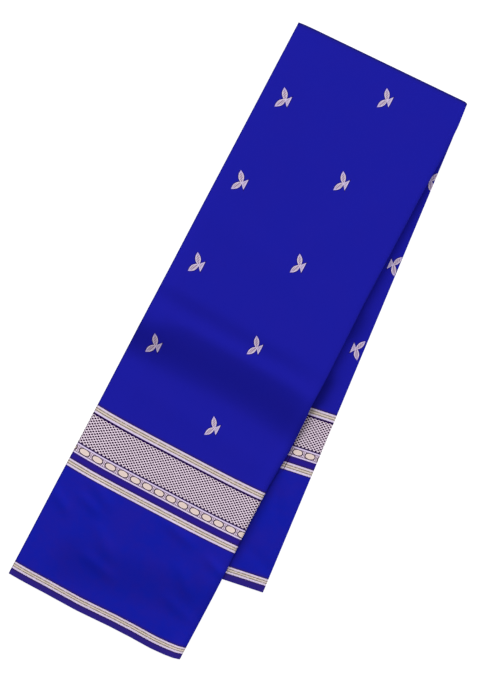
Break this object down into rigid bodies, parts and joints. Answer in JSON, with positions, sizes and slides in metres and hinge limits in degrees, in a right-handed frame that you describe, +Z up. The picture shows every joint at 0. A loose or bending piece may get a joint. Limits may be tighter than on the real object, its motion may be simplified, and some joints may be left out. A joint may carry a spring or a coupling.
{
  "type": "folded saree",
  "caption": "Saree of blue silk with metallic woven bands and small leaf motifs, folded lengthwise and crosswise and lying flat.",
  "frame": {"origin": "middle of the underside of the whole folded saree, on the surface it lies on", "axes": "+Z up; +Y along the length, from the free ends towards the crosswise fold; +X across, towards the lengthwise folds and the side where the back stretch shows"},
  "size_m": [0.3526, 0.9488, 0.0258],
  "materials": {
    "silk": "smooth woven silk with metallic weft bands, soft sheen"
  },
  "bodies": {
    "root": {"front_stretch": "silk", "folded_layers": "silk", "back_stretch": "silk"}
  },
  "joints": []
}
